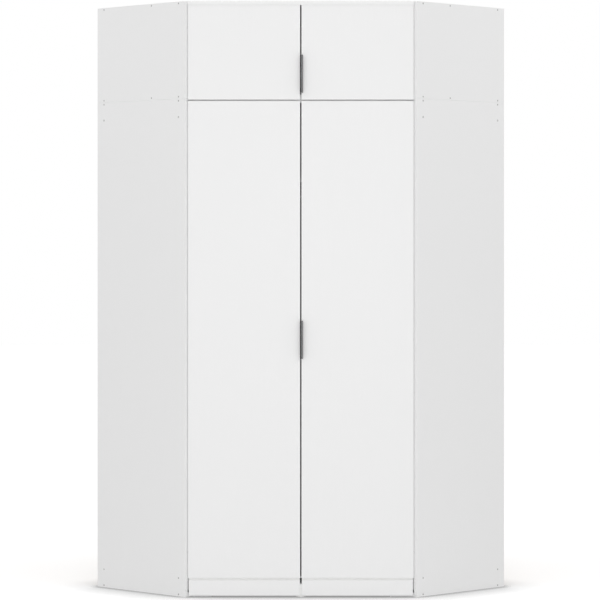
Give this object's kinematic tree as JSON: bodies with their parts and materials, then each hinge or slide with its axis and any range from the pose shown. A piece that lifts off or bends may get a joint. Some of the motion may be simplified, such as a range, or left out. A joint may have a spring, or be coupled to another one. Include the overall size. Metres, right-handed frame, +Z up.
{
  "type": "corner wardrobe",
  "caption": "Tall white corner wardrobe with a diagonal front: long hinged doors below, short ones above, hat shelf, hanging rails and a stacked top cabinet.",
  "frame": {"origin": "on the floor, at the middle of the space that the wardrobe takes up, handles included", "axes": "+Z up, the diagonal front with the doors faces -Y, the room corner lies towards +Y, and +X is to the right seen from the front"},
  "size_m": [1.6602, 1.2086, 2.36],
  "materials": {
    "white_board": "white melamine-faced chipboard, fine pearl grain, satin",
    "door_board": "white melamine-faced chipboard with matching edge band, satin",
    "white_backing": "white printed hardboard, matt",
    "hinge_steel": "nickel-plated",
    "rail_chrome": "bright chrome",
    "handle_metal": "dark grey anodised, satin",
    "white_plastic": "moulded, satin",
    "black_plastic": "moulded, satin"
  },
  "bodies": {
    "carcass": {"main_left_side": "white_board", "main_right_side": "white_board", "top_left_side": "white_board", "top_right_side": "white_board", "main_bottom_board": "white_board", "main_top_board": "white_board", "top_bottom_board": "white_board", "roof_board": "white_board", "main_corner_board": "white_board", "top_corner_board": "white_board", "floor_rail_left": "white_board", "floor_rail_right": "white_board", "rear_rail_left": "white_board", "rear_rail_right": "white_board", "middle_rail": "white_board", "hat_shelf": "white_board", "plinth_left": "door_board", "plinth_right": "door_board", "main_back_left": "white_backing", "main_back_right": "white_backing", "top_back_left": "white_backing", "top_back_right": "white_backing", "plinth_foot": "white_plastic", "door_stop": "black_plastic", "lower_left_hinge_1_arm": "hinge_steel", "lower_left_hinge_2_arm": "hinge_steel", "lower_left_hinge_3_arm": "hinge_steel", "lower_right_hinge_1_arm": "hinge_steel", "lower_right_hinge_2_arm": "hinge_steel", "lower_right_hinge_3_arm": "hinge_steel", "upper_left_hinge_1_arm": "hinge_steel", "upper_left_hinge_2_arm": "hinge_steel", "upper_right_hinge_1_arm": "hinge_steel", "upper_right_hinge_2_arm": "hinge_steel", "shelf_pin_left_front": "hinge_steel", "shelf_pin_left_rear": "hinge_steel", "shelf_pin_right_front": "hinge_steel", "shelf_pin_right_rear": "hinge_steel", "shelf_bracket": "hinge_steel", "hanging_rail_left": "rail_chrome", "rail_socket_left": "hinge_steel", "hanging_rail_right": "rail_chrome", "rail_socket_right": "hinge_steel", "rail_corner_hanger": "hinge_steel"},
    "lower_left_door": {"lower_left_door": "door_board", "lower_left_hinge_1_cup": "hinge_steel", "lower_left_hinge_2_cup": "hinge_steel", "lower_left_hinge_3_cup": "hinge_steel"},
    "lower_right_door": {"lower_right_door": "door_board", "lower_handle": "handle_metal", "lower_right_hinge_1_cup": "hinge_steel", "lower_right_hinge_2_cup": "hinge_steel", "lower_right_hinge_3_cup": "hinge_steel"},
    "upper_left_door": {"upper_left_door": "door_board", "upper_left_hinge_1_cup": "hinge_steel", "upper_left_hinge_2_cup": "hinge_steel"},
    "upper_right_door": {"upper_right_door": "door_board", "upper_handle": "handle_metal", "upper_right_hinge_1_cup": "hinge_steel", "upper_right_hinge_2_cup": "hinge_steel"}
  },
  "joints": [
    {"name": "lower_left_door_hinge", "type": "hinge", "parent": "carcass", "child": "lower_left_door", "pos_m": [-0.43871, -0.57848, 1.0197], "axis": [0, 0, -1], "range_deg": [0, 95]},
    {"name": "lower_right_door_hinge", "type": "hinge", "parent": "carcass", "child": "lower_right_door", "pos_m": [0.43871, -0.57848, 1.0197], "axis": [0, 0, 1], "range_deg": [0, 95]},
    {"name": "upper_left_door_hinge", "type": "hinge", "parent": "carcass", "child": "upper_left_door", "pos_m": [-0.43871, -0.57848, 2.1564], "axis": [0, 0, -1], "range_deg": [0, 95]},
    {"name": "upper_right_door_hinge", "type": "hinge", "parent": "carcass", "child": "upper_right_door", "pos_m": [0.43871, -0.57848, 2.1564], "axis": [0, 0, 1], "range_deg": [0, 95]}
  ]
}
